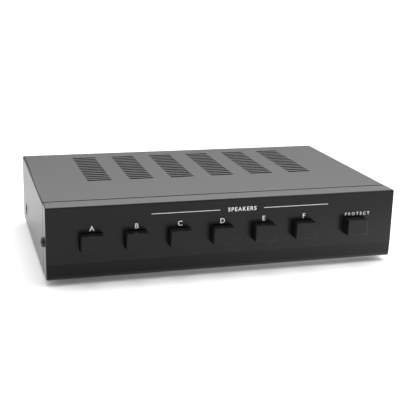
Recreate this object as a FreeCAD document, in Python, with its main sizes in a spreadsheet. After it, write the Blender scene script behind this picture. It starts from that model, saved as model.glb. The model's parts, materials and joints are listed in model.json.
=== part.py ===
import FreeCAD, Part
import os
import re
import Sketcher

os.makedirs("parts", exist_ok=True)

# Speaker selector switch: a low steel case with six latching channel buttons and one
# protection button on the front, a ventilated cover, and seven blocks of spring terminals
# for bare speaker wire on the back.
#
# Inside this file X runs to the right seen from the front, Y runs back from the front
# face, and Z runs up from the case's underside. The finished document has its origin
# under the middle of the feet, so every piece is shifted there at the end.

# Driving sizes in millimetres, and a few counts
SIZES = {
    # Case
    "CaseWidth": 330.0,
    "CaseDepth": 206.0,
    "CaseHeight": 66.0,
    "SheetThick": 1.0,
    "SheetGap": 0.2,
    "CoverBend": 2.0,
    # Front panel
    "PanelDepth": 18.9,
    "PanelFace": 2.5,
    "PanelWall": 1.0,
    "PanelEdge": 1.4,
    "SeamGap": 0.5,
    "SkirtHeight": 14.5,
    "SkirtSetback": 0.9,
    # Vents in the cover
    "VentColumns": 6,
    "VentRows": 14,
    "VentPitchWide": 41.13,
    "VentPitchDeep": 7.36,
    "VentSlotWide": 23.3,
    "VentSlotDeep": 3.9,
    "VentStart": 89.0,
    # Buttons
    "ChannelStart": -125.9,
    "ChannelPitch": 39.6,
    "ProtectionPlace": 124.0,
    "ButtonHigh": 34.0,
    "CapWide": 19.75,
    "CapTall": 14.75,
    "CapProud": 11.0,
    "CapEdge": 0.8,
    "CapGap": 0.4,
    "CapLip": 1.4,
    "CapLipThick": 1.5,
    "CapSeatGap": 0.3,
    "ButtonTravel": 4.5,
    "StemWide": 5.0,
    "StemGap": 0.3,
    "StemInsert": 6.0,
    # Chassis
    "WallPlace": 12.0,
    "FlangeTall": 24.0,
    "TabFront": 5.0,
    "TabLow": 24.0,
    "TabHigh": 41.0,
    "GussetFlat": 10.0,
    "GussetLong": 22.0,
    "BossTall": 6.0,
    "BossRadius": 3.6,
    # Rear panel
    "RearFlange": 12.0,
    "RearFlangeGap": 1.0,
    # Switches and boards
    "SwitchWide": 16.0,
    "SwitchTall": 13.0,
    "SwitchLong": 30.0,
    "SwitchEarWide": 30.0,
    "SwitchEarThick": 1.2,
    "SwitchScrewSpread": 24.0,
    "SwitchPinLong": 3.0,
    "SwitchPinWide": 1.0,
    "SwitchPinSpread": 9.0,
    "BoardThick": 1.6,
    "SwitchBoardTall": 34.0,
    "SwitchBoardMargin": 14.0,
    "MainBoardWide": 268.0,
    "MainBoardFront": 66.0,
    "MainBoardLong": 96.0,
    "BoardScrewInset": 12.0,
    # Load resistors on the main board
    "ResistorWide": 9.0,
    "ResistorTall": 9.0,
    "ResistorLong": 46.0,
    "ResistorLift": 2.5,
    "ResistorSpread": 12.0,
    "ResistorStart": 92.0,
    "LeadThick": 1.0,
    # Flat cables between the boards
    "CableThick": 1.2,
    "CableWide": 12.0,
    "CableInset": 4.0,
    "FrontCableHigh": 24.0,
    "RearCableHigh": 30.0,
    # Spring terminals
    "BlockPitch": 43.5,
    "BlockHigh": 33.6,
    "BlockWide": 29.0,
    "BlockTall": 43.0,
    "BlockInside": 16.0,
    "BlockBezel": 3.0,
    "BlockEarWide": 40.0,
    "BlockEarThick": 1.6,
    "BlockScrewSpread": 34.5,
    "BlockGap": 0.3,
    "CellSpreadWide": 14.2,
    "CellSpreadTall": 21.2,
    "LeverWide": 11.0,
    "LeverGap": 0.3,
    "LeverNose": 1.2,
    "LeverThick": 2.4,
    "LeverReach": 10.6,
    "LeverKick": 8.0,
    "LeverSwing": 2.1,
    "PivotHigh": 8.3,
    "PivotOut": 0.5,
    "RecessDepth": 6.0,
    "WireHoleRadius": 1.75,
    "WireHoleLow": 7.4,
    "WireHoleDepth": 14.0,
    "TagWide": 3.0,
    "TagThick": 0.8,
    "TagLong": 7.0,
    "TagLow": 2.0,
    "RearBoardTall": 38.0,
    "RearBoardMargin": 14.0,
    # Screws
    "ScrewGap": 0.1,
    "SmallHeadRadius": 2.6,
    "SmallHeadThick": 1.7,
    "SmallShank": 1.3,
    "SmallShankLong": 5.0,
    "PanelScrewPlace": 11.0,
    "PanelScrewHigh": 32.5,
    "PanelHeadRadius": 4.5,
    "PanelHeadThick": 3.0,
    "PanelShank": 1.9,
    "PanelShankLong": 7.0,
    "CoverScrewPlace": 177.0,
    "CoverScrewHigh": 15.5,
    "CoverHeadRadius": 3.1,
    "CoverHeadThick": 1.6,
    "CoverShank": 1.5,
    "CoverShankLong": 6.0,
    "DimpleRadius": 6.4,
    "DimpleDepth": 0.9,
    "DimpleRim": 0.8,
    "DimpleGap": 0.3,
    # Feet
    "FootHeight": 6.0,
    "FootRadius": 9.0,
    "FootTaper": 8.0,
    "FootSideInset": 30.0,
    "FootFrontInset": 34.0,
    "FootRearInset": 24.0,
    "FootRecess": 4.4,
    "FootRecessDepth": 3.2,
}

CHANNELS = ["a", "b", "c", "d", "e", "f"]
BLOCKS = CHANNELS + ["input"]
BUTTONS = CHANNELS + ["protection"]

doc = FreeCAD.newDocument("SpeakerSelector")
sheet = doc.addObject("Spreadsheet::Sheet", "Sizes")
for row, (alias, value) in enumerate(SIZES.items(), start=1):
    sheet.set("A%d" % row, alias)
    sheet.set("B%d" % row, str(value))
    sheet.setAlias("B%d" % row, alias)
doc.recompute()

# Planes and levels that several pieces share, written with the sheet's names
HALF = "(CaseWidth / 2)"
INNER = "(CaseWidth / 2 - max(PanelWall; SheetThick) - SheetGap)"
FLOOR = "(PanelWall + SheetGap)"
CEILING = "(CaseHeight - max(PanelWall; SheetThick) - SheetGap)"
BACK = "(CaseDepth - SheetThick - SheetGap)"
WALL_BACK = "(WallPlace + SheetThick)"
PIN_TIPS = "(WallPlace + SheetThick + SwitchLong + SwitchPinLong)"
BOARD_LOW = "(PanelWall + SheetGap + SheetThick + BossTall)"
BOARD_TOP = "(PanelWall + SheetGap + SheetThick + BossTall + BoardThick)"
TAG_TIPS = "(CaseDepth - BlockInside - TagLong)"
FRONT_FACE = "((CapProud - CaseDepth - PivotOut - LeverKick) / 2)"

AXES = {"XY": "XY_Plane", "XZ": "XZ_Plane", "YZ": "YZ_Plane"}


def refer(text):
    """Turn the sheet's names in a formula into references to its cells."""
    return re.sub(r"\b([A-Z][a-z]+[A-Za-z]*)\b", r"Sizes.\1", text)


def minus(text):
    return "(-(%s))" % text


def total(*terms):
    return "(" + " + ".join(terms) + ")"


def rectangle(left, low, right, high):
    """Corner formulas of an upright rectangle."""
    return [(left, low), (right, low), (right, high), (left, high)]


def centred(x, z, wide, tall):
    """A rectangle of the given size around a centre."""
    half_wide = "(%s) / 2" % wide
    half_tall = "(%s) / 2" % tall
    return rectangle(
        "%s - %s" % (x, half_wide), "%s - %s" % (z, half_tall),
        "%s + %s" % (x, half_wide), "%s + %s" % (z, half_tall))


def circle(x, z, radius):
    return (x, z, radius)


def octagon(x, z, radius):
    """A small round drawn with eight sides to keep the mesh light, its flats at the radius."""
    side = "(%s) * tan(22.5)" % radius
    right, left = "%s + %s" % (x, radius), "%s - %s" % (x, radius)
    near_right, near_left = "%s + %s" % (x, side), "%s - %s" % (x, side)
    high, low = "%s + %s" % (z, radius), "%s - %s" % (z, radius)
    near_high, near_low = "%s + %s" % (z, side), "%s - %s" % (z, side)
    return [
        (right, near_low), (right, near_high), (near_right, high), (near_left, high),
        (left, near_high), (left, near_low), (near_left, low), (near_right, low)]


def in_groups(loops, most=4):
    """Split many outlines over several sketches, which solve faster than one large sketch."""
    return [loops[i:i + most] for i in range(0, len(loops), most)]


class Piece:
    """One named piece of the product, built up from sketches on its own origin planes."""

    def __init__(self, label, x="0", y="0", z="0"):
        self.body = doc.addObject("PartDesign::Body", label)
        self.body.Label = label
        self.body.AllowCompound = True
        self.body.setExpression("Placement.Base.x", refer(x))
        self.body.setExpression("Placement.Base.y", refer(total(FRONT_FACE, y)))
        self.body.setExpression("Placement.Base.z", refer(total("FootHeight", z)))
        self.count = 0

    def name(self, kind):
        self.count += 1
        return "%s_%s_%d" % (self.body.Label, kind, self.count)

    def origin(self, role):
        return [f for f in self.body.Origin.OriginFeatures if f.Role == role][0]

    def sketch(self, plane, loops, start):
        """Closed outlines, each corner or centre held by two bound distances."""
        sketch = self.body.newObject("Sketcher::SketchObject", self.name("sketch"))
        sketch.AttachmentSupport = (self.origin(AXES[plane]), "")
        sketch.MapMode = "FlatFace"
        lift = minus(start) if plane == "XZ" else start
        sketch.setExpression("AttachmentOffset.Base.z", refer(lift))
        for loop in loops:
            if isinstance(loop, tuple):
                self.add_circle(sketch, loop)
            else:
                self.add_polygon(sketch, loop)
        return sketch

    def bind(self, sketch, constraints, formulas):
        """Add constraints under names of their own, and bind each one's value to a formula."""
        for number, constraint in enumerate(constraints, start=sketch.ConstraintCount):
            constraint.Name = "size%d" % number
        sketch.addConstraint(constraints)
        for constraint, formula in zip(constraints, formulas):
            sketch.setExpression("Constraints." + constraint.Name, refer(formula))

    def add_circle(self, sketch, loop):
        ring = Part.Circle(FreeCAD.Vector(1, 1, 0), FreeCAD.Vector(0, 0, 1), 1.0)
        geometry = sketch.addGeometry(ring, False)
        self.bind(sketch, [
            Sketcher.Constraint("DistanceX", -1, 1, geometry, 3, 1.0),
            Sketcher.Constraint("DistanceY", -1, 1, geometry, 3, 1.0),
            Sketcher.Constraint("Radius", geometry, 1.0)], loop)

    def add_polygon(self, sketch, corners):
        first = sketch.GeometryCount
        lines, joints, distances, formulas = [], [], [], []
        for i, corner in enumerate(corners):
            start = FreeCAD.Vector(i + 1, (i + 1) ** 2, 0)
            end = FreeCAD.Vector(i + 2, (i + 2) ** 2, 0)
            lines.append(Part.LineSegment(start, end))
            following = first + (i + 1) % len(corners)
            joints.append(Sketcher.Constraint("Coincident", first + i, 2, following, 1))
            distances.append(Sketcher.Constraint("DistanceX", -1, 1, first + i, 1, start.x))
            distances.append(Sketcher.Constraint("DistanceY", -1, 1, first + i, 1, start.y))
            formulas.extend(corner)
        sketch.addGeometry(lines, False)
        sketch.addConstraint(joints)
        self.bind(sketch, distances, formulas)

    def pad(self, plane, loops, start, length, taper=None):
        """Add material from start, by length along the plane's positive axis."""
        for group in in_groups(loops):
            feature = self.extrude("Pad", plane, group, start, length)
            feature.Reversed = plane == "XZ"
            if taper:
                feature.setExpression("TaperAngle", refer(taper))
            self.settle(feature)

    def cut(self, plane, loops, start, length):
        """Remove material from start, by length along the plane's positive axis."""
        for group in in_groups(loops):
            before = self.body.Shape.Volume
            feature = self.extrude("Pocket", plane, group, start, length)
            feature.Reversed = plane != "XZ"
            self.settle(feature)
            if self.body.Shape.Volume >= before:
                raise RuntimeError("%s removed nothing" % feature.Label)
        return feature

    def extrude(self, kind, plane, loops, start, length):
        profile = self.sketch(plane, loops, start)
        feature = self.body.newObject("PartDesign::" + kind, self.name(kind.lower()))
        feature.Profile = profile
        feature.setExpression("Length", refer(length))
        return feature

    def repeat(self, feature, axis, length, number, axis_2, length_2, number_2):
        """Repeat a feature in a rectangular grid."""
        pattern = self.body.newObject("PartDesign::LinearPattern", self.name("grid"))
        pattern.Originals = [feature]
        pattern.Direction = (self.origin(axis), [""])
        pattern.Direction2 = (self.origin(axis_2), [""])
        pattern.setExpression("Length", refer(length))
        pattern.setExpression("Length2", refer(length_2))
        pattern.setExpression("Occurrences", refer(number))
        pattern.setExpression("Occurrences2", refer(number_2))
        self.body.Tip = pattern
        self.settle(pattern)

    def fillet(self, radius, wanted):
        """Round the edges that the given test picks."""
        base = self.body.Tip
        names = ["Edge%d" % i for i, edge in enumerate(base.Shape.Edges, start=1) if wanted(edge)]
        if not names:
            raise RuntimeError("%s: no edge to round" % self.body.Label)
        feature = self.body.newObject("PartDesign::Fillet", self.name("fillet"))
        feature.Base = (base, names)
        feature.setExpression("Radius", refer(radius))
        self.settle(feature)

    def settle(self, feature):
        doc.recompute()
        for item in (feature, self.body):
            if "Invalid" in item.State or "Error" in item.State:
                raise RuntimeError("%s failed" % item.Label)


def along(axis):
    """An edge test: straight and parallel to an axis, 0 for X, 1 for Y, 2 for Z."""
    def test(edge):
        if edge.Curve.TypeId != "Part::GeomLine":
            return False
        direction = edge.Vertexes[-1].Point - edge.Vertexes[0].Point
        return abs(abs(direction[axis]) - direction.Length) < 1e-6
    return test


def at(axis, place):
    """An edge test: every point of it lies at one place along an axis."""
    def test(edge):
        return all(abs(vertex.Point[axis] - place) < 1e-6 for vertex in edge.Vertexes)
    return test


def size(alias):
    return float(sheet.get(alias))


def channel_x(i):
    return "(ChannelStart + %d * ChannelPitch)" % i


def button_x(i):
    return channel_x(i) if i < len(CHANNELS) else "ProtectionPlace"


def block_x(i):
    middle = (len(BLOCKS) - 1) / 2
    return "(%g * BlockPitch)" % (i - middle)


def cell_places():
    """Centres of a block's four cells, upper pair first."""
    places = []
    for row in (1, -1):
        for column in (-1, 1):
            places.append(("(%d * CellSpreadWide / 2)" % column, "(%d * CellSpreadTall / 2)" % row))
    return places


def main_board_corners(number):
    """Screw places along the front and back edges of the main board."""
    places = []
    half = "(MainBoardWide / 2 - BoardScrewInset)"
    for y in ("(MainBoardFront + BoardScrewInset)",
              "(MainBoardFront + MainBoardLong - BoardScrewInset)"):
        for k in range(number):
            places.append(("(%g) * %s" % (2 * k / (number - 1) - 1, half), y))
    return places


BOARD_SCREWS = main_board_corners(3)
FOOT_PLACES = [
    ("(%d * (CaseWidth / 2 - FootSideInset))" % side, y)
    for y in ("FootFrontInset", "(CaseDepth - FootRearInset)") for side in (-1, 1)]
REAR_SCREW_Y = "(CaseDepth - SheetThick - RearFlange / 2)"
REAR_SCREWS = [("(%g * CaseWidth)" % share, REAR_SCREW_Y) for share in (-0.45, -0.15, 0.15, 0.45)]


def make_cover():
    """Folded sheet: top and both sides, with six columns of vent slots."""
    piece = Piece("cover")
    start = "(PanelDepth + SeamGap)"
    inner = "(CaseWidth / 2 - SheetThick)"
    under = "(CaseHeight - SheetThick)"
    profile = [
        (minus(HALF), "0"), (minus(inner), "0"), (minus(inner), under), (inner, under),
        (inner, "0"), (HALF, "0"), (HALF, "CaseHeight"), (minus(HALF), "CaseHeight")]
    piece.pad("XZ", [profile], start, "CaseDepth - %s" % start)

    half, high, thick = size("CaseWidth") / 2, size("CaseHeight"), size("SheetThick")
    def outer_bend(edge):
        point = edge.Vertexes[0].Point
        return along(1)(edge) and abs(abs(point.x) - half) < 1e-6 and abs(point.z - high) < 1e-6
    def inner_bend(edge):
        point = edge.Vertexes[0].Point
        on_side = abs(abs(point.x) - half + thick) < 1e-6
        return along(1)(edge) and on_side and abs(point.z - high + thick) < 1e-6
    piece.fillet("CoverBend", outer_bend)
    piece.fillet("CoverBend - SheetThick", inner_bend)

    for side in (-1, 1):
        dimple(piece, side, "CaseWidth / 2", "DimpleRadius", circle)

    slot = centred("((1 - VentColumns) * VentPitchWide / 2)", "VentStart", "VentSlotWide", "VentSlotDeep")
    first = piece.cut("XY", [slot], "CaseHeight - 2 * SheetThick", "3 * SheetThick")
    piece.repeat(first, "X_Axis", "(VentColumns - 1) * VentPitchWide", "VentColumns",
                 "Y_Axis", "(VentRows - 1) * VentPitchDeep", "VentRows")
    return piece


def dimple(piece, side, outside, radius, outline):
    """Press a dish into a side wall whose outer face lies at outside, and pierce it."""
    place = ("CoverScrewPlace", "CoverScrewHigh")
    back = "(%s - SheetThick - DimpleDepth)" % outside
    rim = outline(*place, "(%s + DimpleRim)" % radius)
    dish = outline(*place, radius)
    hole = octagon(*place, "(CoverShank + ScrewGap)")
    if side > 0:
        piece.pad("YZ", [rim], back, "SheetThick / 2 + DimpleDepth")
        piece.cut("YZ", [dish], "%s - DimpleDepth" % outside, "DimpleDepth")
    else:
        piece.pad("YZ", [rim], "-(%s) + SheetThick / 2" % outside, "SheetThick / 2 + DimpleDepth")
        piece.cut("YZ", [dish], "-(%s)" % outside, "DimpleDepth")
    piece.cut("YZ", [hole], minus(outside) if side < 0 else back, "SheetThick + DimpleDepth")


def make_front_panel():
    """Shallow tray: face with seven windows, returns on all four sides, skirt leaning back."""
    piece = Piece("front_panel")
    profile = [
        ("SkirtSetback", "0"), ("PanelDepth", "0"), ("PanelDepth", "CaseHeight"),
        ("0", "CaseHeight"), ("0", "SkirtHeight")]
    piece.pad("YZ", [profile], minus(HALF), "CaseWidth")

    half, high = size("CaseWidth") / 2, size("CaseHeight")
    def outer_edge(edge):
        box = edge.BoundBox
        side = box.XLength < 1e-6 and abs(abs(box.Center.x) - half) < 1e-6
        if side and box.ZLength < 1e-6:
            return True
        if side:
            return box.YMax < size("PanelDepth") - 1e-6
        return box.ZLength < 1e-6 and box.YMax < 2 and min(box.ZMin, high - box.ZMin) < 1e-6
    piece.fillet("PanelEdge", outer_edge)

    inner = "(CaseWidth / 2 - PanelWall)"
    hollow = rectangle(minus(inner), "PanelWall", inner, "CaseHeight - PanelWall")
    piece.cut("XZ", [hollow], "PanelFace", "PanelDepth")
    windows = [
        centred(button_x(i), "ButtonHigh", "CapWide + 2 * CapGap", "CapTall + 2 * CapGap")
        for i in range(len(BUTTONS))]
    piece.cut("XZ", windows, "-1", "PanelFace + 2")
    hole = octagon("PanelScrewPlace", "PanelScrewHigh", "(PanelShank + ScrewGap)")
    piece.cut("YZ", [hole], minus(HALF), "CaseWidth")
    return piece


def make_chassis():
    """Pan with a front wall that carries the switches, side flanges, tabs and board bosses."""
    piece = Piece("chassis")
    plate = rectangle(minus(INNER), "WallPlace", INNER, BACK)
    piece.pad("XY", [plate], FLOOR, "SheetThick")
    wall = rectangle(minus(INNER), FLOOR, INNER, CEILING)
    piece.pad("XZ", [wall], "WallPlace", "SheetThick")
    flange = [
        ("WallPlace", FLOOR), (BACK, FLOOR), (BACK, "FlangeTall"),
        ("WallPlace + GussetFlat + GussetLong", "FlangeTall"),
        ("WallPlace + GussetFlat", "TabHigh"), ("TabFront", "TabHigh"),
        ("TabFront", "TabLow"), ("WallPlace", "TabLow")]
    piece.pad("YZ", [flange], minus(INNER), "SheetThick")
    piece.pad("YZ", [flange], "%s - SheetThick" % INNER, "SheetThick")

    rim = "(DimpleRadius + DimpleRim + DimpleGap)"
    for side in (-1, 1):
        dimple(piece, side, INNER, rim, octagon)

    bosses = [octagon(x, y, "BossRadius") for x, y in BOARD_SCREWS]
    piece.pad("XY", bosses, "%s + SheetThick / 2" % FLOOR, "SheetThick / 2 + BossTall")
    piece.cut("XY", screw_holes(BOARD_SCREWS), FLOOR, "SheetThick + BossTall")
    piece.cut("XY", screw_holes(FOOT_PLACES + REAR_SCREWS), FLOOR, "SheetThick")

    gates = [
        centred(button_x(i), "ButtonHigh", "StemWide + 6 * StemGap", "StemWide + 6 * StemGap")
        for i in range(len(BUTTONS))]
    piece.cut("XZ", gates, "WallPlace", "SheetThick")
    piece.cut("XZ", screw_holes(switch_screw_places("ButtonHigh")), "WallPlace", "SheetThick")
    hole = octagon("PanelScrewPlace", "PanelScrewHigh", "(PanelShank + ScrewGap)")
    piece.cut("YZ", [hole], minus(HALF), "CaseWidth")
    return piece


def screw_holes(places):
    """Clearance holes for the small screws."""
    return [octagon(x, y, "(SmallShank + ScrewGap)") for x, y in places]


def switch_screw_places(high):
    return [
        ("(%s + %d * SwitchScrewSpread / 2)" % (button_x(i), side), high)
        for i in range(len(BUTTONS)) for side in (-1, 1)]


def block_screw_places():
    return [
        ("(%s + %d * BlockScrewSpread / 2)" % (block_x(i), side), "BlockHigh")
        for i in range(len(BLOCKS)) for side in (-1, 1)]


def make_rear_panel():
    """Flanged plate that closes the back, with a window for each terminal block."""
    piece = Piece("rear_panel")
    face = "(CaseDepth - SheetThick)"
    shoulder = "(%s - CoverBend)" % INNER
    corner = "(%s - CoverBend)" % CEILING
    plate = [
        (minus(INNER), FLOOR), (INNER, FLOOR), (INNER, corner), (shoulder, CEILING),
        (minus(shoulder), CEILING), (minus(INNER), corner)]
    piece.pad("XZ", [plate], face, "SheetThick")
    edge = "(%s - SheetThick - RearFlangeGap)" % INNER
    foot = "(%s + SheetThick)" % FLOOR
    piece.pad("XY", [rectangle(minus(edge), "%s - RearFlange" % face, edge, face)], foot, "SheetThick")
    lid = rectangle(minus(edge), "%s - RearFlange" % face, edge, face)
    piece.pad("XY", [lid], "%s - SheetThick" % CEILING, "SheetThick")
    cheek = rectangle("%s - RearFlange" % face, "FlangeTall + RearFlangeGap",
                      face, "%s - SheetThick - RearFlangeGap" % CEILING)
    piece.pad("YZ", [cheek], minus(INNER), "SheetThick")
    piece.pad("YZ", [cheek], "%s - SheetThick" % INNER, "SheetThick")

    openings = [
        centred(block_x(i), "BlockHigh", "BlockWide + 2 * BlockGap", "BlockTall + 2 * BlockGap")
        for i in range(len(BLOCKS))]
    piece.cut("XZ", openings, face, "SheetThick")
    piece.cut("XZ", screw_holes(block_screw_places()), face, "SheetThick")
    piece.cut("XY", screw_holes(REAR_SCREWS), foot, "SheetThick")
    return piece


def make_button(i):
    """Square cap with a retaining lip behind the panel, on the stem that works its switch."""
    piece = Piece("button_" + BUTTONS[i], button_x(i), "0", "ButtonHigh")
    lip = "(PanelFace + CapSeatGap)"
    stem = "(PanelFace + CapSeatGap + CapLipThick)"
    tip = "(%s + StemInsert)" % WALL_BACK
    piece.pad("XZ", [centred("0", "0", "CapWide", "CapTall")], "-CapProud", "CapProud + %s" % lip)
    piece.fillet("CapEdge", at(1, -size("CapProud")))
    wide, tall = "CapWide + 2 * CapLip", "CapTall + 2 * CapLip"
    piece.pad("XZ", [centred("0", "0", wide, tall)], lip, "CapLipThick")
    piece.pad("XZ", [centred("0", "0", "StemWide", "StemWide")], stem, "%s - %s" % (tip, stem))
    return piece


def make_switch_bodies():
    """Seven latching push switches: housing, screw ears and solder pins."""
    piece = Piece("switch_bodies", "0", "0", "ButtonHigh")
    rows = range(len(BUTTONS))
    ears = [centred(button_x(i), "0", "SwitchEarWide", "SwitchTall") for i in rows]
    piece.pad("XZ", ears, WALL_BACK, "SwitchEarThick")
    cases = [centred(button_x(i), "0", "SwitchWide", "SwitchTall") for i in rows]
    piece.pad("XZ", cases, WALL_BACK, "SwitchLong")
    bores = [centred(button_x(i), "0", "StemWide + 2 * StemGap", "StemWide + 2 * StemGap") for i in rows]
    piece.cut("XZ", bores, WALL_BACK, "StemInsert + ButtonTravel + 3 * StemGap")
    piece.cut("XZ", screw_holes(switch_screw_places("0")), WALL_BACK, "SwitchEarThick")
    for i in rows:
        pins = []
        for side in (-1, 0, 1):
            for row in (-1, 1):
                x = "%s + %d * SwitchPinSpread / 2" % (button_x(i), side)
                pins.append(centred(x, "%d * SwitchPinSpread / 2" % row, "SwitchPinWide", "SwitchPinWide"))
        piece.pad("XZ", pins, "%s + SwitchLong" % WALL_BACK, "SwitchPinLong")
    return piece


def make_switch_board():
    """Upright board that the seven switches are soldered to."""
    piece = Piece("switch_board")
    left = "(%s - SwitchBoardMargin)" % button_x(0)
    right = "(%s + SwitchBoardMargin)" % button_x(len(BUTTONS) - 1)
    low = "(ButtonHigh - SwitchBoardTall / 2)"
    board = rectangle(left, low, right, "%s + SwitchBoardTall" % low)
    piece.pad("XZ", [board], PIN_TIPS, "BoardThick")
    return piece


def make_main_board():
    """Flat board on the chassis bosses, which carries the load resistors."""
    piece = Piece("main_board")
    board = rectangle("-MainBoardWide / 2", "MainBoardFront", "MainBoardWide / 2",
                      "MainBoardFront + MainBoardLong")
    piece.pad("XY", [board], BOARD_LOW, "BoardThick")
    piece.cut("XY", screw_holes(BOARD_SCREWS), BOARD_LOW, "BoardThick")
    return piece


def make_rear_board():
    """Upright board that the terminals' solder tags end on."""
    piece = Piece("rear_board")
    half = "(%s + RearBoardMargin)" % block_x(len(BLOCKS) - 1)
    low = "(BlockHigh - RearBoardTall / 2)"
    board = rectangle(minus(half), low, half, "%s + RearBoardTall" % low)
    piece.pad("XZ", [board], "%s - BoardThick" % TAG_TIPS, "BoardThick")
    return piece


def make_load_resistors():
    """Twelve cement resistors in pairs under the vent columns, standing on their leads."""
    piece = Piece("load_resistors", "0", "0", BOARD_TOP)
    middle = "(ResistorStart + ResistorLong / 2)"
    for column in range(6):
        cores, leads = [], []
        for side in (-1, 1):
            x = "((%d - (VentColumns - 1) / 2) * VentPitchWide + %d * ResistorSpread / 2)" % (column, side)
            cores.append(centred(x, middle, "ResistorWide", "ResistorLong"))
            for end in (-1, 1):
                y = "(%s + %d * (ResistorLong / 2 - 2 * LeadThick))" % (middle, end)
                leads.append(centred(x, y, "LeadThick", "LeadThick"))
        piece.pad("XY", cores, "ResistorLift", "ResistorTall")
        piece.pad("XY", leads, "0", "ResistorLift")
    return piece


def make_cables(label, places, high, start, corner):
    """Flat cables: level from start to the bend at corner, then down to the main board."""
    piece = Piece(label)
    forward = size("CaseDepth") / 2 < corner[1]
    sign = "-" if forward else "+"
    outer = "(%s %s CableThick)" % (corner[0], sign)
    profile = [
        (start, high), (outer, high), (outer, BOARD_TOP), (corner[0], BOARD_TOP),
        (corner[0], "%s - CableThick" % high), (start, "%s - CableThick" % high)]
    for place in places:
        piece.pad("YZ", [profile], "%s - CableWide / 2" % place, "CableWide")
    return piece


def make_switch_cables():
    return make_cables("switch_cables", [button_x(i) for i in range(len(BUTTONS))], "FrontCableHigh",
                       "(%s + BoardThick)" % PIN_TIPS, ("(MainBoardFront + CableInset)", 0))


def make_terminal_cables():
    corner = "(MainBoardFront + MainBoardLong - CableInset)"
    return make_cables("terminal_cables", [block_x(i) for i in range(len(BLOCKS))], "RearCableHigh",
                       "(%s - BoardThick)" % TAG_TIPS, (corner, size("CaseDepth")))


def make_terminal_housing(i):
    """Moulded block with four lever recesses over four wire holes."""
    piece = Piece("terminal_housing_" + BLOCKS[i], block_x(i), "CaseDepth", "BlockHigh")
    piece.pad("XZ", [centred("0", "0", "BlockWide", "BlockTall")], "-BlockInside", "BlockInside + BlockBezel")
    piece.pad("XZ", [centred("0", "0", "BlockEarWide", "BlockTall")], "0", "BlockEarThick")
    recesses, wires = [], []
    half = "(LeverWide / 2 + LeverGap)"
    for x, z in cell_places():
        pivot = "(%s + PivotHigh)" % z
        top = "(%s + LeverNose + LeverGap)" % pivot
        low = "(%s - LeverReach - LeverSwing)" % pivot
        recesses.append(rectangle("%s - %s" % (x, half), low, "%s + %s" % (x, half), top))
        wires.append(circle(x, "%s - WireHoleLow" % z, "WireHoleRadius"))
    piece.cut("XZ", recesses, "-RecessDepth", "RecessDepth + BlockBezel")
    piece.cut("XZ", wires, "BlockBezel - WireHoleDepth", "WireHoleDepth")
    screws = [("(%d * BlockScrewSpread / 2)" % side, "0") for side in (-1, 1)]
    piece.cut("XZ", screw_holes(screws), "0", "BlockEarThick")
    return piece


def make_terminal_tags():
    """Solder tags of the twenty-eight contacts, out of the blocks' inner faces."""
    piece = Piece("terminal_tags", "0", "0", "BlockHigh")
    for i in range(len(BLOCKS)):
        tags = [
            centred("%s + %s" % (block_x(i), x), "%s - TagLow" % z, "TagWide", "TagThick")
            for x, z in cell_places()]
        piece.pad("XZ", tags, TAG_TIPS, "TagLong")
    return piece


def make_lever(i, cell, side, colour):
    """Spring lever: a wedge that rocks on its rounded top edge and stands out at its foot."""
    x, z = cell_places()[cell]
    label = "lever_%s_%s_%s" % (BLOCKS[i], side, colour)
    piece = Piece(label, "%s + %s" % (block_x(i), x), "CaseDepth + PivotOut",
                  "BlockHigh + %s + PivotHigh" % z)
    nose = octagon("0", "0", "LeverNose")
    rounded_top = nose[1:5]
    wedge = rounded_top + [
        ("-LeverNose", "0"), ("LeverKick - LeverThick", "-LeverReach"),
        ("LeverKick", "-LeverReach"), ("LeverNose", "0")]
    piece.pad("YZ", [wedge], "-LeverWide / 2", "LeverWide")
    return piece


def make_screws(label, groups):
    """Screws: each group gives its heads' plane, places, seat, direction, head and shank."""
    piece = Piece(label)
    for plane, places, seat, outward, head, shank in groups:
        outline = octagon if head == SMALL_HEAD else circle
        heads = [outline(x, y, head[0]) for x, y in places]
        shanks = [octagon(x, y, shank[0]) for x, y in places]
        if outward > 0:
            piece.pad(plane, heads, seat, head[1])
            piece.pad(plane, shanks, "%s - %s" % (seat, shank[1]), shank[1])
        else:
            piece.pad(plane, heads, "%s - %s" % (seat, head[1]), head[1])
            piece.pad(plane, shanks, seat, shank[1])
    return piece


SMALL_HEAD = ("SmallHeadRadius", "SmallHeadThick")
SMALL_SHANK = ("SmallShank", "SmallShankLong")


def make_inner_screws():
    """Screws of the main board, the switches and the rear panel's lower flange."""
    rear_seat = "(%s + 2 * SheetThick)" % FLOOR
    return make_screws("inner_screws", [
        ("XY", BOARD_SCREWS, BOARD_TOP, 1, SMALL_HEAD, SMALL_SHANK),
        ("XY", REAR_SCREWS, rear_seat, 1, SMALL_HEAD, ("SmallShank", "2 * SheetThick")),
        ("XZ", switch_screw_places("ButtonHigh"), "WallPlace", -1, SMALL_HEAD, SMALL_SHANK)])


def make_terminal_screws():
    seat = "(CaseDepth + BlockEarThick)"
    return make_screws("terminal_screws", [
        ("XZ", block_screw_places(), seat, 1, SMALL_HEAD, SMALL_SHANK)])


def make_cover_screws():
    places = [("CoverScrewPlace", "CoverScrewHigh")]
    head = ("CoverHeadRadius", "CoverHeadThick")
    shank = ("CoverShank", "CoverShankLong")
    seat = "(CaseWidth / 2 - DimpleDepth)"
    return make_screws("cover_screws", [
        ("YZ", places, seat, 1, head, shank), ("YZ", places, minus(seat), -1, head, shank)])


def make_front_panel_screws():
    places = [("PanelScrewPlace", "PanelScrewHigh")]
    head = ("PanelHeadRadius", "PanelHeadThick")
    shank = ("PanelShank", "PanelShankLong")
    return make_screws("front_panel_screws", [
        ("YZ", places, HALF, 1, head, shank), ("YZ", places, minus(HALF), -1, head, shank)])


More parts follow.
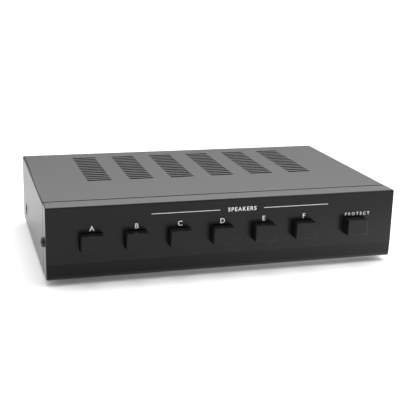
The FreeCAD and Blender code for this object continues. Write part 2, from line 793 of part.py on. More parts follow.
def make_feet():
    """Four rubber feet that widen upwards, each with a recess for its screw."""
    piece = Piece("feet", "0", "0", "-FootHeight")
    tall = "(FootHeight + %s)" % FLOOR
    discs = [circle(x, y, "FootRadius") for x, y in FOOT_PLACES]
    piece.pad("XY", discs, "0", tall, "FootTaper")
    recesses = [circle(x, y, "FootRecess") for x, y in FOOT_PLACES]
    piece.cut("XY", recesses, "0", "FootRecessDepth")
    piece.cut("XY", screw_holes(FOOT_PLACES), "FootRecessDepth", "%s - FootRecessDepth" % tall)
    return piece


def make_foot_screws():
    seat = "(FootRecessDepth - FootHeight)"
    shank = ("SmallShank", "(FootHeight - FootRecessDepth + %s + 3 * SheetThick)" % FLOOR)
    return make_screws("foot_screws", [("XY", FOOT_PLACES, seat, -1, SMALL_HEAD, shank)])


pieces = [
    make_cover(), make_front_panel(), make_chassis(), make_rear_panel(),
    make_switch_bodies(), make_switch_board(), make_main_board(), make_rear_board(),
    make_load_resistors(), make_switch_cables(), make_terminal_cables(), make_terminal_tags(),
    make_inner_screws(), make_terminal_screws(), make_cover_screws(), make_front_panel_screws(),
    make_feet(), make_foot_screws()]
for number in range(len(BUTTONS)):
    pieces.append(make_button(number))
for number in range(len(BLOCKS)):
    pieces.append(make_terminal_housing(number))
    for cell, (side, colour) in enumerate(
            [("left", "red"), ("left", "black"), ("right", "red"), ("right", "black")]):
        pieces.append(make_lever(number, cell, side, colour))

doc.recompute()
for item in doc.Objects:
    if "Invalid" in item.State or "Error" in item.State:
        raise RuntimeError("%s failed" % item.Label)
for piece in pieces:
    shape = piece.body.Shape
    if shape.isNull() or not shape.isValid():
        raise RuntimeError("%s has no valid shape" % piece.body.Label)
for piece in pieces:
    piece.body.Shape.exportStep("parts/%s.step" % piece.body.Label)
print("%d pieces written" % len(pieces))
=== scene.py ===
import json
import math

import bmesh
import bpy
from mathutils import Matrix, Vector


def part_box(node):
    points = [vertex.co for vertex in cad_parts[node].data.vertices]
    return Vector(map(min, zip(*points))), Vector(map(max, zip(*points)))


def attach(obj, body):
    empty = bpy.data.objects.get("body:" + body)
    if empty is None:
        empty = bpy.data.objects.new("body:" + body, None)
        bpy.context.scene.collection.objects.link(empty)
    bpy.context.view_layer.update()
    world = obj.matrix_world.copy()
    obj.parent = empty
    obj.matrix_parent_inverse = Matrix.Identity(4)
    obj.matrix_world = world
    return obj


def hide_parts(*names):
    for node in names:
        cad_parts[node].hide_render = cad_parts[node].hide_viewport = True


# Looks of a speaker selector switch: satin black case, black push caps, generic print,
# and spring terminals for speaker wire on the back

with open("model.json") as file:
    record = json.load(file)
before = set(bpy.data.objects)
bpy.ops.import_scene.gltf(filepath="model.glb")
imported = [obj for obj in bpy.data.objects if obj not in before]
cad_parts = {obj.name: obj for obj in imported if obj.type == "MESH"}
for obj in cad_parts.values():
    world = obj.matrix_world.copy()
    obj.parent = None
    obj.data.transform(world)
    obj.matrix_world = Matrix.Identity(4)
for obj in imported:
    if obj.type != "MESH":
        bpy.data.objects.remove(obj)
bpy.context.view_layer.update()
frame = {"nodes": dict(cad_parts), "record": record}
MM = 0.001

PANEL_LOW, PANEL_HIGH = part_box("front_panel")
FACE_Y = PANEL_LOW.y
CASE_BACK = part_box("rear_panel")[1].y
CASE_BASE = PANEL_LOW.z
CREASE_Z = CASE_BASE + 14.5 * MM

CHANNELS = "abcdef"
BUTTONS = [*CHANNELS, "protection"]
BLOCKS = [*CHANNELS, "input"]
LEVERS = [(side, colour) for side in ("left", "right") for colour in ("red", "black")]

LEFT, RIGHT = Vector((-1, 0, 0)), Vector((1, 0, 0))
BACK, DOWN = Vector((0, 1, 0)), Vector((0, 0, -1))


def middle(node):
    low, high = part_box(node)
    return (low + high) / 2


class Value:
    """A shader socket that adds Math nodes when it is used in a formula."""

    def __init__(self, nodes, socket):
        self.nodes = nodes
        self.socket = socket

    def math(self, operation, *values):
        return self.nodes.node("ShaderNodeMath", {"operation": operation}, *values)

    def __add__(self, other):
        return self.math("ADD", self, other)

    def __radd__(self, other):
        return self.math("ADD", other, self)

    def __sub__(self, other):
        return self.math("SUBTRACT", self, other)

    def __rsub__(self, other):
        return self.math("SUBTRACT", other, self)

    def __mul__(self, other):
        return self.math("MULTIPLY", self, other)

    def __rmul__(self, other):
        return self.math("MULTIPLY", other, self)


class Nodes:
    """Adds shader nodes of any kind to one tree."""

    def __init__(self, tree):
        self.tree = tree

    def node(self, kind, settings, *values, output=0, **inputs):
        """Settings come first, then values or links in socket order or by the socket's name."""
        node = self.tree.nodes.new(kind)
        for key, value in settings.items():
            setattr(node, key, value)
        for place, value in [*enumerate(values), *inputs.items()]:
            name = place if isinstance(place, int) else place.replace("_", " ")
            self.feed(node.inputs[name], value)
        return Value(self, node.outputs[output])

    def feed(self, socket, value):
        if isinstance(value, Value):
            self.tree.links.new(value.socket, socket)
        else:
            socket.default_value = value

    def between(self, signal, low, high):
        """0 below low and 1 above high, with a soft step between."""
        return self.node("ShaderNodeMapRange", {"interpolation_type": "SMOOTHSTEP"},
                         Value=signal, From_Min=low, From_Max=high)

    def axis(self, vector, output):
        return self.node("ShaderNodeSeparateXYZ", {}, vector, output=output)


class Recipe(Nodes):
    """One procedural material, built node by node round its main shader."""

    def __init__(self, name):
        self.material = bpy.data.materials.new(name)
        self.material.use_nodes = True
        super().__init__(self.material.node_tree)
        self.shader = self.tree.nodes["Principled BSDF"]
        self.place = self.node("ShaderNodeTexCoord", {}, output="Object")

    def noise(self, scale, detail=3.0, place=None):
        """Even mottling, about 0 to 1, with features about 1 / scale metres wide."""
        return self.node("ShaderNodeTexNoise", {}, Vector=place or self.place, Scale=scale, Detail=detail)

    def mix(self, factor, first, second):
        return self.node("ShaderNodeMix", {"data_type": "RGBA"}, Factor=factor, A=first, B=second,
                         output="Result")

    def ramp(self, signal, stops):
        """A colour ramp with its stops as (place, colour)."""
        node = self.tree.nodes.new("ShaderNodeValToRGB")
        elements = node.color_ramp.elements
        elements[0].position, elements[0].color = stops[0]
        elements[1].position, elements[1].color = stops[-1]
        for position, colour in stops[1:-1]:
            elements.new(position).color = colour
        self.feed(node.inputs["Fac"], signal)
        return Value(self, node.outputs["Color"])

    def bump(self, height, distance, strength=1.0, normal=None):
        inputs = {"Height": height, "Distance": distance, "Strength": strength}
        if normal:
            inputs["Normal"] = normal
        return self.node("ShaderNodeBump", {}, **inputs)

    def soft_edges(self, radius):
        """A normal that rounds sharp edges by a small radius."""
        return self.node("ShaderNodeBevel", {"samples": 4}, Radius=radius)

    def seam_shade_mask(self, seam_y, reach):
        """0 at the seam between front panel and cover, and 1 away from it on either side: the band where
        shade is painted.
        """
        off = self.axis(self.place, "Y") - seam_y
        off = off.math("ABSOLUTE", off)
        return self.between(off, 0.6 * reach, reach)

    def outside_slots(self):
        """0 on the cut walls of the cover's slots, where shade is painted, and 1 on the sheet's outer side.
        """
        low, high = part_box("cover")
        across, _, height = (self.axis(self.place, name) for name in "XYZ")
        depth = self.between(high.z - height, 0.3 * MM, 0.5 * MM)
        off = across.math("ABSOLUTE", across - (low.x + high.x) / 2)
        return 1.0 - depth * (1.0 - self.between(off, high.x - 6 * MM, high.x - 5 * MM))

    def finish(self, **inputs):
        for name, value in inputs.items():
            self.feed(self.shader.inputs[name.replace("_", " ")], value)
        return self.material

    def layer(self, mask, tone, roughness, gloss, ior=1.5, normal=None):
        """Where mask is 0, another plain finish shows in place of what is there so far."""
        other = self.tree.nodes.new("ShaderNodeBsdfPrincipled")
        settings = {"Base Color": grey(tone), "Roughness": roughness, "Specular IOR Level": gloss, "IOR": ior}
        if normal:
            settings["Normal"] = normal
        for name, value in settings.items():
            self.feed(other.inputs[name], value)
        surface = self.tree.nodes["Material Output"].inputs["Surface"]
        both = self.tree.nodes.new("ShaderNodeMixShader")
        self.feed(both.inputs[0], mask)
        self.tree.links.new(other.outputs["BSDF"], both.inputs[1])
        self.tree.links.new(surface.links[0].from_socket, both.inputs[2])
        self.tree.links.new(both.outputs[0], surface)

    def painted_shade(self, clear):
        """Painted shade: where clear is 0 the surface turns a black finish that gives back no light, standing
        in for the shade in a narrow gap.
        """
        self.layer(clear, 0.002, 1.0, 0.0)


def grey(level):
    return (level, level, level, 1.0)


# How far from the seam the painted shade reaches on the cover; the modelled gap is narrower.
SEAM_SHADE_REACH = 1.1 * MM


def painted_steel(name, tone, roughness, grain, edge, ior=1.5, cover=False):
    """Satin black paint over steel. On the cover, painted shade: a black layer along the seam and on the
    walls of the slots.
    """
    recipe = Recipe(name)
    fine = recipe.noise(2600.0, 2.0)
    broad = recipe.noise(38.0, 4.0)
    colour = recipe.ramp(broad, [(0.3, grey(tone * 0.85)), (0.7, grey(tone * 1.15))])
    gloss = roughness + 0.05 * (broad - 0.5) + 0.06 * (fine - 0.5)
    if cover:
        # Painted shade: a black layer along the seam, wider than the gap.
        recipe.painted_shade(recipe.seam_shade_mask(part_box("cover")[0].y, SEAM_SHADE_REACH))
        # Painted shade: the walls of the slots are black and give back no light.
        recipe.painted_shade(recipe.outside_slots())
    normal = recipe.bump(fine, 0.00003, grain, recipe.soft_edges(edge))
    return recipe.finish(Base_Color=colour, Roughness=gloss, Normal=normal, IOR=ior)


def panel_paint(name, tone, skirt_shade_tone, roughness, ior):
    """Satin film on the face, paint on the returns, painted shade on the skirt below the crease, and a black
    painted-shade layer at the seam.
    """
    recipe = Recipe(name)
    fine = recipe.noise(3200.0, 2.0)
    broad = recipe.noise(24.0, 4.0)
    height = recipe.axis(recipe.place, "Z")
    # Painted shade: below the crease the skirt is darker, standing in for the darker reflection it shows.
    above = recipe.between(height, CREASE_Z - 0.2 * MM, CREASE_Z + 0.2 * MM)
    base = recipe.mix(above, grey(skirt_shade_tone), grey(tone))
    colour = recipe.mix(0.2 * broad, base, grey(tone * 1.6))
    gloss = roughness + 0.06 * (broad - 0.5) + 0.04 * (fine - 0.5)
    normal = recipe.bump(fine, 0.00002, 0.12, recipe.soft_edges(0.0003))
    on_returns = recipe.between(recipe.axis(recipe.place, "Y"), FACE_Y + 0.6 * MM, FACE_Y + 1.2 * MM)
    recipe.layer(1.0 - on_returns, 0.008, 0.3, 0.5, 1.64, normal)
    # Painted shade: a black layer along the seam.
    recipe.painted_shade(recipe.seam_shade_mask(PANEL_HIGH.y, 0.7 * SEAM_SHADE_REACH))
    return recipe.finish(Base_Color=colour, Roughness=gloss, Normal=normal, IOR=ior)


def moulded_plastic(name, colour, roughness, grain, edge=0.0003, ior=1.46):
    """Injection moulded plastic with a fine etched texture."""
    recipe = Recipe(name)
    fine = recipe.noise(1700.0, 2.0)
    broad = recipe.noise(90.0, 3.0)
    dark = tuple(0.85 * c for c in colour[:3]) + (1.0,)
    tint = recipe.ramp(broad, [(0.35, dark), (0.65, colour)])
    normal = recipe.bump(fine, 0.00003, grain, recipe.soft_edges(edge))
    return recipe.finish(
        Base_Color=tint, Roughness=roughness + 0.08 * (fine - 0.5), Normal=normal, IOR=ior)


def bright_steel(name, tone, roughness):
    """Zinc plated steel with faint streaks."""
    recipe = Recipe(name)
    stretched = recipe.node("ShaderNodeMapping", {}, Vector=recipe.place, Scale=(1.0, 0.06, 1.0))
    streaks = recipe.noise(900.0, 3.0, stretched)
    colour = recipe.ramp(streaks, [(0.3, grey(tone * 0.85)), (0.7, grey(tone))])
    return recipe.finish(
        Base_Color=colour, Metallic=1.0, Roughness=roughness + 0.15 * (streaks - 0.5),
        Normal=recipe.bump(streaks, 0.00001, 0.4, recipe.soft_edges(0.0002)))


def circuit_board(name):
    """Green lacquered board with faint copper tracks under the lacquer."""
    recipe = Recipe(name)
    cells = recipe.node("ShaderNodeTexVoronoi", {"distance": "CHEBYCHEV"}, Vector=recipe.place,
                        Scale=220.0)
    tracks = recipe.ramp(cells, [(0.42, (0.008, 0.045, 0.018, 1.0)), (0.5, (0.02, 0.1, 0.04, 1.0))])
    return recipe.finish(Base_Color=tracks, Roughness=0.3 + 0.1 * cells, IOR=1.5)


def rubber(name):
    recipe = Recipe(name)
    fine = recipe.noise(1300.0, 3.0)
    colour = recipe.ramp(fine, [(0.3, grey(0.008)), (0.7, grey(0.016))])
    return recipe.finish(
        Base_Color=colour, Roughness=0.75 + 0.1 * (fine - 0.5),
        Normal=recipe.bump(fine, 0.00005, 0.5, recipe.soft_edges(0.0006)))


def print_ink(name, tone):
    """Screen printed ink, very slightly uneven."""
    recipe = Recipe(name)
    fine = recipe.noise(2200.0, 2.0)
    colour = recipe.ramp(fine, [(0.25, grey(tone * 0.85)), (0.75, grey(tone))])
    return recipe.finish(Base_Color=colour, Roughness=0.5 + 0.1 * (fine - 0.5))


MATERIALS = {
    "cover_paint": painted_steel("cover_paint", 0.008, 0.3, 0.3, 0.0004, 1.58, cover=True),
    "panel_paint": panel_paint("panel_paint", 0.008, 0.0005, 0.24, 1.26),
    "rear_paint": painted_steel("rear_paint", 0.012, 0.42, 0.35, 0.0003),
    "bare_steel": bright_steel("bare_steel", 0.5, 0.35),
    "button_plastic": moulded_plastic("button_plastic", grey(0.006), 0.42, 0.25, 0.0004, 1.3),
    "terminal_plastic": moulded_plastic("terminal_plastic", grey(0.012), 0.45, 0.4),
    "lever_red": moulded_plastic("lever_red", (0.45, 0.008, 0.006, 1.0), 0.3, 0.1),
    "lever_black": moulded_plastic("lever_black", grey(0.008), 0.3, 0.1),
    "switch_plastic": moulded_plastic("switch_plastic", grey(0.02), 0.4, 0.2),
    "circuit_board": circuit_board("circuit_board"),
    "cement": moulded_plastic("cement", (0.42, 0.41, 0.38, 1.0), 0.85, 1.0),
    "cable_sleeve": moulded_plastic("cable_sleeve", grey(0.12), 0.5, 0.1),
    "tinned_brass": bright_steel("tinned_brass", 0.65, 0.25),
    "zinc_screw": bright_steel("zinc_screw", 0.6, 0.3),
    "black_screw": painted_steel("black_screw", 0.006, 0.3, 0.2, 0.0002),
    "foot_rubber": rubber("foot_rubber"),
}
INK = print_ink("print_ink", 0.9)


def dress_cad_nodes():
    """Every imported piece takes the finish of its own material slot."""
    for part in frame["record"]["subparts"]:
        node = frame["nodes"][part["node"]]
        node.data.materials.clear()
        node.data.materials.append(MATERIALS[part["material_slot"]])


SHARP_FROM = 40
WELD_REACH = 0.001 * MM


def round_edges(node, radius):
    """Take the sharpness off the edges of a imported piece."""
    piece = frame["nodes"][node]
    weld = piece.modifiers.new("weld", "WELD")
    weld.merge_threshold = WELD_REACH
    bevel = piece.modifiers.new("edges", "BEVEL")
    bevel.width = radius
    bevel.segments = 2
    bevel.limit_method = "ANGLE"
    bevel.angle_limit = math.radians(SHARP_FROM)


def finished(name, shape, body, slot, material=None):
    """Close a bmesh into a named piece that rides on a body."""
    mesh = bpy.data.meshes.new(name)
    shape.to_mesh(mesh)
    shape.free()
    mesh.materials.append(material or MATERIALS[slot])
    piece = bpy.data.objects.new(name, mesh)
    bpy.context.scene.collection.objects.link(piece)
    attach(piece, body)
    return piece


# Cross-recessed screws
HEAD_SIDES = 24
HEAD_SHAPE = [(1.0, 0.0), (1.0, 0.4), (0.96, 0.62), (0.86, 0.82), (0.7, 0.95), (0.5, 1.0)]


def loop_of(edges):
    return {vertex for edge in edges for vertex in edge.verts}


def cross_point(angle, arm, half_width):
    """A point of a four-armed recess, in the direction of an angle in degrees."""
    axis = round(angle / 90) * 90
    off = angle - axis
    share = (45 - abs(off)) / 37.5
    along = half_width + (arm - half_width) * share
    return Matrix.Rotation(math.radians(axis), 3, "Z") @ Vector((along, math.copysign(half_width, off), 0))


def add_screw(shape, seat, outward, radius, tall, shank, long):
    """A pan head with a cross recess on a plain shank, its head's seat at a point."""
    turn = Matrix.Rotation(math.pi / HEAD_SIDES, 4, "Z")
    made = bmesh.ops.create_circle(shape, radius=radius, segments=HEAD_SIDES, matrix=turn)
    vertices = list(made["verts"])
    edges = list({edge for vertex in vertices for edge in vertex.link_edges})
    for wide, high in HEAD_SHAPE[1:]:
        grown = bmesh.ops.extrude_edge_only(shape, edges=edges)["geom"]
        edges = [item for item in grown if isinstance(item, bmesh.types.BMEdge) and not
                 any(vertex in vertices for vertex in item.verts)]
        ring = loop_of(edges)
        for vertex in ring:
            flat = Vector((vertex.co.x, vertex.co.y, 0)).normalized() * radius * wide
            vertex.co = flat + Vector((0, 0, tall * high))
        vertices.extend(ring)
    for drop, arm in ((0.0, 0.5), (0.55, 0.42)):
        grown = bmesh.ops.extrude_edge_only(shape, edges=edges)["geom"]
        edges = [item for item in grown if isinstance(item, bmesh.types.BMEdge) and not
                 any(vertex in vertices for vertex in item.verts)]
        ring = loop_of(edges)
        for vertex in ring:
            angle = math.degrees(math.atan2(vertex.co.y, vertex.co.x))
            point = cross_point(angle, arm * radius, 0.13 * radius)
            vertex.co = point + Vector((0, 0, tall * (1.0 - drop)))
        vertices.extend(ring)
    bmesh.ops.edgeloop_fill(shape, edges=edges)
    seat_edges = [edge for vertex in made["verts"] for edge in vertex.link_edges
                  if all(abs(end.co.z) < 1e-9 for end in edge.verts)]
    bmesh.ops.edgeloop_fill(shape, edges=list(set(seat_edges)))
    stem = bmesh.ops.create_cone(
        shape, cap_ends=True, segments=12, radius1=shank, radius2=shank, depth=long,
        matrix=Matrix.Translation((0, 0, -long / 2)))
    vertices.extend(stem["verts"])
    place = Matrix.Translation(seat) @ Vector((0, 0, 1)).rotation_difference(outward).to_matrix().to_4x4()
    bmesh.ops.transform(shape, matrix=place, verts=vertices)


def islands(node):
    """The separate solids of a packed group: each one's lowest and highest corner."""
    shape = bmesh.new()
    shape.from_mesh(frame["nodes"][node].data)
    bmesh.ops.remove_doubles(shape, verts=shape.verts, dist=WELD_REACH)
    left = set(shape.verts)
    boxes = []
    while left:
        reached, front = set(), [left.pop()]
        while front:
            vertex = front.pop()
            reached.add(vertex)
            for edge in vertex.link_edges:
                other = edge.other_vert(vertex)
                if other in left:
                    left.remove(other)
                    front.append(other)
        low = Vector([min(vertex.co[axis] for vertex in reached) for axis in range(3)])
        high = Vector([max(vertex.co[axis] for vertex in reached) for axis in range(3)])
        boxes.append((low, high))
    shape.free()
    return sorted(boxes, key=lambda box: tuple(round(value, 5) for value in box[0]))


def screws_like(node, outward_of, head_tall, shank):
    """Detailed screws in the place of a packed group of plain ones."""
    shape = bmesh.new()
    for low, high in islands(node):
        centre = (low + high) / 2
        outward = outward_of(centre)
        axis = max(range(3), key=lambda i: abs(outward[i]))
        tip = high if outward[axis] > 0 else low
        seat = centre.copy()
        seat[axis] = tip[axis] - outward[axis] * head_tall
        across = [high[i] - low[i] for i in range(3) if i != axis]
        long = (high[axis] - low[axis]) - head_tall
        add_screw(shape, seat, outward, min(across) / 2, head_tall, shank, long)
    bmesh.ops.recalc_face_normals(shape, faces=shape.faces)
    slot = next(part["material_slot"] for part in frame["record"]["subparts"] if part["node"] == node)
    piece = finished(node + "_detail", shape, "case", slot)
    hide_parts(node)


def sideways(centre):
    return RIGHT if centre.x > 0 else LEFT


def add_screws():
    screws_like("front_panel_screws", sideways, 3.0 * MM, 1.9 * MM)
    screws_like("cover_screws", sideways, 1.6 * MM, 1.5 * MM)
    screws_like("terminal_screws", lambda centre: BACK, 1.7 * MM, 1.3 * MM)
    screws_like("foot_screws", lambda centre: DOWN, 1.7 * MM, 1.3 * MM)


# Spring terminals
RIDGES = 5
RIDGE_DEPTH = 0.35 * MM
LEVER_EDGE = 0.14 * MM
LEVER_NOSE = 1.2 * MM
LEVER_TAB = 2.4 * MM
COLLAR_INNER = 1.9 * MM
COLLAR_OUTER = 3.0 * MM
COLLAR_TALL = 0.6 * MM
HOLES_ACROSS = 14.2 * MM
HOLES_UP = 21.2 * MM
HOLES_DROP = 7.4 * MM


def lever_profile(low, high):
    """Side view of a spring lever as (y, z) from its box: rounded top, ridged face, thumb tab."""
    nose = LEVER_NOSE
    pivot_y, pivot_z = low.y + nose, high.z - nose
    points = []
    for step in range(7):
        angle = math.radians(180 - 30 * step)
        points.append((pivot_y + nose * math.cos(angle), pivot_z + nose * math.sin(angle)))
    start, end = Vector((pivot_y + nose, pivot_z)), Vector((high.y, low.z + 0.6 * MM))
    across = Vector((end.y - start.y, start.x - end.x)).normalized() * RIDGE_DEPTH
    for ridge in range(RIDGES):
        for share, sunk in ((0.0, 0.0), (0.25, 1.0), (0.5, 1.0), (0.75, 0.0)):
            at = 0.4 + 0.55 * (ridge + share) / RIDGES
            point = start.lerp(end, at) + across * sunk
            points.append(tuple(point))
    points.append(tuple(end))
    points.append((high.y - 0.4 * MM, low.z))
    points.append((high.y - LEVER_TAB, low.z))
    return points


def add_levers():
    for block in BLOCKS:
        for side, colour in LEVERS:
            name = "lever_%s_%s_%s" % (block, side, colour)
            low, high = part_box(name)
            shape = bmesh.new()
            outline = [shape.verts.new((low.x, y, z)) for y, z in lever_profile(low, high)]
            end = shape.faces.new(outline)
            grown = bmesh.ops.extrude_face_region(shape, geom=[end])["geom"]
            moved = [item for item in grown if isinstance(item, bmesh.types.BMVert)]
            bmesh.ops.translate(shape, verts=moved, vec=(high.x - low.x, 0, 0))
            bmesh.ops.recalc_face_normals(shape, faces=shape.faces)
            rims = [edge for edge in shape.edges if abs(edge.verts[0].co.x - edge.verts[1].co.x) < 1e-9]
            bmesh.ops.bevel(shape, geom=rims, offset=LEVER_EDGE, offset_type="OFFSET", segments=2,
                            profile=0.5, affect="EDGES", material=-1, clamp_overlap=True)
            piece = finished(name + "_ridged", shape, name, "lever_" + colour)
            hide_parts(name)


def add_wire_collars():
    """A low moulded collar round each wire hole."""
    for block in BLOCKS:
        low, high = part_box("terminal_housing_" + block)
        centre = (low + high) / 2
        shape = bmesh.new()
        for column in (-0.5, 0.5):
            for row in (-0.5, 0.5):
                x = centre.x + column * HOLES_ACROSS
                z = centre.z + row * HOLES_UP - HOLES_DROP
                add_ring(shape, Vector((x, high.y, z)), COLLAR_INNER, COLLAR_OUTER, COLLAR_TALL)
        bmesh.ops.recalc_face_normals(shape, faces=shape.faces)
        finished("wire_collars_" + block, shape, "case", "terminal_plastic")


def add_ring(shape, place, inner, outer, tall):
    """A rounded ring that stands on a wall facing +Y, turned from its section."""
    section = [(inner, 0), (inner, 0.7 * tall), (inner + 0.2 * tall, tall), (outer - 0.4 * tall, tall),
               (outer, 0.6 * tall), (outer, 0)]
    vertices = [shape.verts.new(place + Vector((radius, y, 0))) for radius, y in section]
    edges = [shape.edges.new(pair) for pair in zip(vertices, vertices[1:] + vertices[:1])]
    bmesh.ops.spin(shape, geom=vertices + edges, cent=place, axis=(0, 1, 0), angle=math.tau,
                   steps=24, use_merge=True, use_duplicate=False)


# Print on the front panel and the back
PRINT_LIFT = 0.05 * MM
LETTER_WEIGHT = 0.014
LETTER_HIGH = 45.7 * MM
LETTER_TALL = 4.6 * MM
LETTER_SHIFT = 0.9 * MM
PROTECT_HIGH = 44.7 * MM
PROTECT_TALL = 3.0 * MM
PROTECT_SHIFT = 3.4 * MM
TITLE_HIGH = 55.8 * MM
TITLE_TALL = 3.8 * MM
TITLE_LEFT = -72 * MM
TITLE_RIGHT = 96.7 * MM
TITLE_HALF_WORD = 21 * MM
RULE_THICK = 0.5 * MM
BACK_LETTER_RISE = 4.2 * MM
BACK_LETTER_TALL = 3.6 * MM
SIGN_DROP = 2.6 * MM
SIGN_ACROSS = 7.1 * MM
SIGNS = [("plus", "+", -1, 1.8 * MM), ("minus", "-", 1, 0.45 * MM)]


def letters(text, spread):
    """Flat lettering as a mesh in the XY plane, from a one-metre font, slightly thickened."""
    curve = bpy.data.curves.new("lettering", "FONT")
    curve.body = text
    curve.offset = LETTER_WEIGHT
    curve.align_x = "CENTER"
    curve.space_character = spread
    source = bpy.data.objects.new("lettering", curve)
    mesh = bpy.data.meshes.new_from_object(source)
    bpy.data.objects.remove(source)
    shape = bmesh.new()
    shape.from_mesh(mesh)
    bpy.data.meshes.remove(mesh)
    bmesh.ops.remove_doubles(shape, verts=shape.verts, dist=1e-5)
    return shape


def printed(name, text, x, z, tall, front=True, spread=1.0):
    """A word of thin print on the front or back, centred at x and z and tall metres high."""
    shape = letters(text, spread)
    heights = [vertex.co.y for vertex in shape.verts]
    low, high = min(heights), max(heights)
    scale = tall / (high - low)
    turn = Matrix.Rotation(math.radians(90), 4, "X")
    if not front:
        turn = Matrix.Rotation(math.radians(180), 4, "Z") @ turn
    y = FACE_Y - PRINT_LIFT if front else CASE_BACK + PRINT_LIFT
    place = (Matrix.Translation((x, y, z)) @ turn @ Matrix.Scale(scale, 4)
             @ Matrix.Translation((0, -(low + high) / 2, 0)))
    bmesh.ops.transform(shape, matrix=place, verts=shape.verts)
    finished(name, shape, "case", "panel_paint" if front else "rear_paint", INK)


def print_rule(name, x_from, x_to, z):
    """A thin printed line on the front."""
    shape = bmesh.new()
    place = (Matrix.Translation(((x_from + x_to) / 2, FACE_Y - PRINT_LIFT, z))
             @ Matrix.Rotation(math.radians(90), 4, "X")
             @ Matrix.Diagonal(((x_to - x_from) / 2, RULE_THICK / 2, 1, 1)))
    bmesh.ops.create_grid(shape, x_segments=1, y_segments=1, size=1.0, matrix=place)
    finished(name, shape, "case", "panel_paint", INK)


def print_front():
    for channel in CHANNELS:
        x = middle("button_" + channel).x + LETTER_SHIFT
        printed("print_" + channel, channel.upper(), x, CASE_BASE + LETTER_HIGH, LETTER_TALL)
    x = middle("button_protection").x + PROTECT_SHIFT
    printed("print_protect", "PROTECT", x, CASE_BASE + PROTECT_HIGH, PROTECT_TALL, spread=1.6)

    centre = (TITLE_LEFT + TITLE_RIGHT) / 2
    z = CASE_BASE + TITLE_HIGH
    printed("print_title", "SPEAKERS", centre, z, TITLE_TALL, spread=1.25)
    print_rule("print_rule_left", TITLE_LEFT, centre - TITLE_HALF_WORD, z)
    print_rule("print_rule_right", centre + TITLE_HALF_WORD, TITLE_RIGHT, z)


def print_back():
    """Channel letters above the blocks, and a plus and a minus below the levers' columns."""
    for block in BLOCKS:
        low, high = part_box("terminal_housing_" + block)
        x = (low.x + high.x) / 2
        word = "IN" if block == "input" else block.upper()
        printed("print_back_" + block, word, x, high.z + BACK_LETTER_RISE, BACK_LETTER_TALL, front=False)
        for mark, sign, side, tall in SIGNS:
            printed("print_%s_%s" % (mark, block), sign, x + side * SIGN_ACROSS, low.z - SIGN_DROP,
                    tall, front=False)


dress_cad_nodes()
round_edges("cover", 0.35 * MM)
round_edges("front_panel", 0.35 * MM)
round_edges("rear_panel", 0.2 * MM)
round_edges("feet", 0.6 * MM)
for button in BUTTONS:
    round_edges("button_" + button, 0.3 * MM)
for block in BLOCKS:
    round_edges("terminal_housing_" + block, 0.3 * MM)
add_screws()
add_levers()
add_wire_collars()
print_front()
print_back()


# Camera, fitted to the picture's edges and vents
VIEW_YAW = 16.96
VIEW_PITCH = 15.93
VIEW_ROLL = 1.56
VIEW_FOCAL_PIXELS = 881.85
PICTURE_PIXELS = 416
SENSOR = 36.0
VIEW_PLACE = Vector((-241.84, -726.5, 275.15)) * MM


def add_camera():
    yaw, pitch, roll = (math.radians(angle) for angle in (VIEW_YAW, VIEW_PITCH, VIEW_ROLL))
    ahead = Vector((math.sin(yaw) * math.cos(pitch), math.cos(yaw) * math.cos(pitch), -math.sin(pitch)))
    right = Vector((math.cos(yaw), -math.sin(yaw), 0))
    up = right.cross(ahead)
    turned_right = math.cos(roll) * right + math.sin(roll) * up
    turned_up = math.cos(roll) * up - math.sin(roll) * right
    turn = Matrix((turned_right, turned_up, -ahead)).transposed().to_4x4()
    data = bpy.data.cameras.new("camera")
    data.sensor_width = SENSOR
    data.lens = VIEW_FOCAL_PIXELS / PICTURE_PIXELS * SENSOR
    camera = bpy.data.objects.new("camera", data)
    bpy.context.scene.collection.objects.link(camera)
    camera.matrix_world = Matrix.Translation(VIEW_PLACE + Vector((0, FACE_Y, CASE_BASE))) @ turn
    bpy.context.scene.camera = camera


def seen_and_mirrored(nodes):
    """Masks for rays from the camera and for reflections."""
    path = nodes.tree.nodes.new("ShaderNodeLightPath")
    return [Value(nodes, path.outputs[name]) for name in ("Is Camera Ray", "Is Glossy Ray")]


FLOOR_TONE = 0.92
FLOOR_LIFT = 0.1
FLOOR_FAR_LIFT = 0.45
FAR_FROM_PART = (0.4, 2.0)
# Painted reflection: a glowing patch of floor at the right front that only reflections see.
FLOOR_MIRROR_GLOW = 2.2
MIRROR_GLOW_ACROSS = (-0.25, 0.5)
MIRROR_GLOW_ALONG = (-0.32, -0.16)
FLOOR_HALF = 30.0


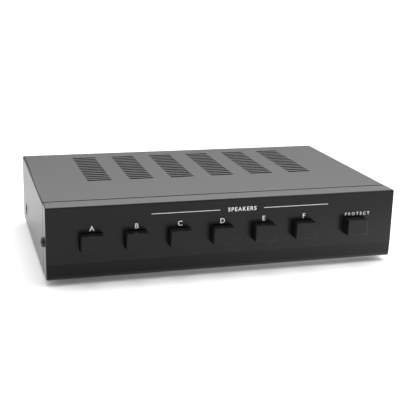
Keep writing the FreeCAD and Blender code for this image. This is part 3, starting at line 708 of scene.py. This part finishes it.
def add_floor():
    """A white floor that keeps its shadows, with a painted glow at the right that only mirrors see: a painted
    reflection that brightens the right of the case's front.
    """
    recipe = Recipe("floor")
    away = recipe.node("ShaderNodeVectorMath", {"operation": "LENGTH"}, recipe.place, output="Value")
    across, along = recipe.axis(recipe.place, "X"), recipe.axis(recipe.place, "Y")
    seen, mirrored = seen_and_mirrored(recipe)
    far = FLOOR_FAR_LIFT * recipe.between(away, *FAR_FROM_PART)
    # Painted reflection: glow on the floor that only glossy rays see.
    mirror_glow = FLOOR_MIRROR_GLOW * recipe.between(across, *MIRROR_GLOW_ACROSS) * recipe.between(along, *MIRROR_GLOW_ALONG)
    glow = (FLOOR_LIFT + far) * seen + mirror_glow * mirrored
    recipe.finish(Base_Color=grey(FLOOR_TONE), Roughness=0.9, Specular_IOR_Level=0.0,
                  Emission_Color=glow, Emission_Strength=1.0)
    shape = bmesh.new()
    bmesh.ops.create_grid(shape, x_segments=1, y_segments=1, size=FLOOR_HALF)
    mesh = bpy.data.meshes.new("floor")
    shape.to_mesh(mesh)
    shape.free()
    mesh.materials.append(recipe.material)
    floor = bpy.data.objects.new("floor", mesh)
    bpy.context.scene.collection.objects.link(floor)


SKY_LOW = 0.02
SKY_HIGH = 1.9
SKY_RISE = (0.2, 0.34)
SKY_RIGHT = 0.4
SKY_FRONT = 0.3


def add_world():
    """A studio that is dim in front and near the floor, and brighter behind, above and to the right."""
    world = bpy.data.worlds.new("studio")
    bpy.context.scene.world = world
    world.use_nodes = True
    nodes = Nodes(world.node_tree)
    direction = nodes.node("ShaderNodeTexCoord", {}, output="Generated")
    x, y, z = (nodes.axis(direction, name) for name in "XYZ")
    sky = SKY_LOW + (SKY_HIGH - SKY_LOW) * nodes.between(z, *SKY_RISE)
    behind = nodes.between(y, -0.6, 0.3)
    light = sky * (1.0 + SKY_RIGHT * x) * (SKY_FRONT + (1.0 - SKY_FRONT) * behind)
    background = nodes.tree.nodes["Background"]
    background.inputs["Color"].default_value = grey(1.0)
    nodes.feed(background.inputs["Strength"], light)


def add_lamp(name, place, aim, size, power):
    """A square soft lamp."""
    data = bpy.data.lights.new(name, "AREA")
    data.size = size
    data.energy = power
    lamp = bpy.data.objects.new(name, data)
    lamp.location = place
    lamp.rotation_euler = (aim - place).to_track_quat("-Z", "Y").to_euler()
    bpy.context.scene.collection.objects.link(lamp)


def add_lamps():
    add_lamp("overhead", Vector((-0.1, -0.1, 1.1)), Vector((0, 0, 0)), 0.7, 4.0)
    add_lamp("front_right", Vector((0.42, -0.42, 0.55)), Vector((0.42, -0.42, 0)), 0.3, 2.0)


add_camera()
add_floor()
add_world()
add_lamps()
bpy.context.scene.view_settings.view_transform = "Standard"
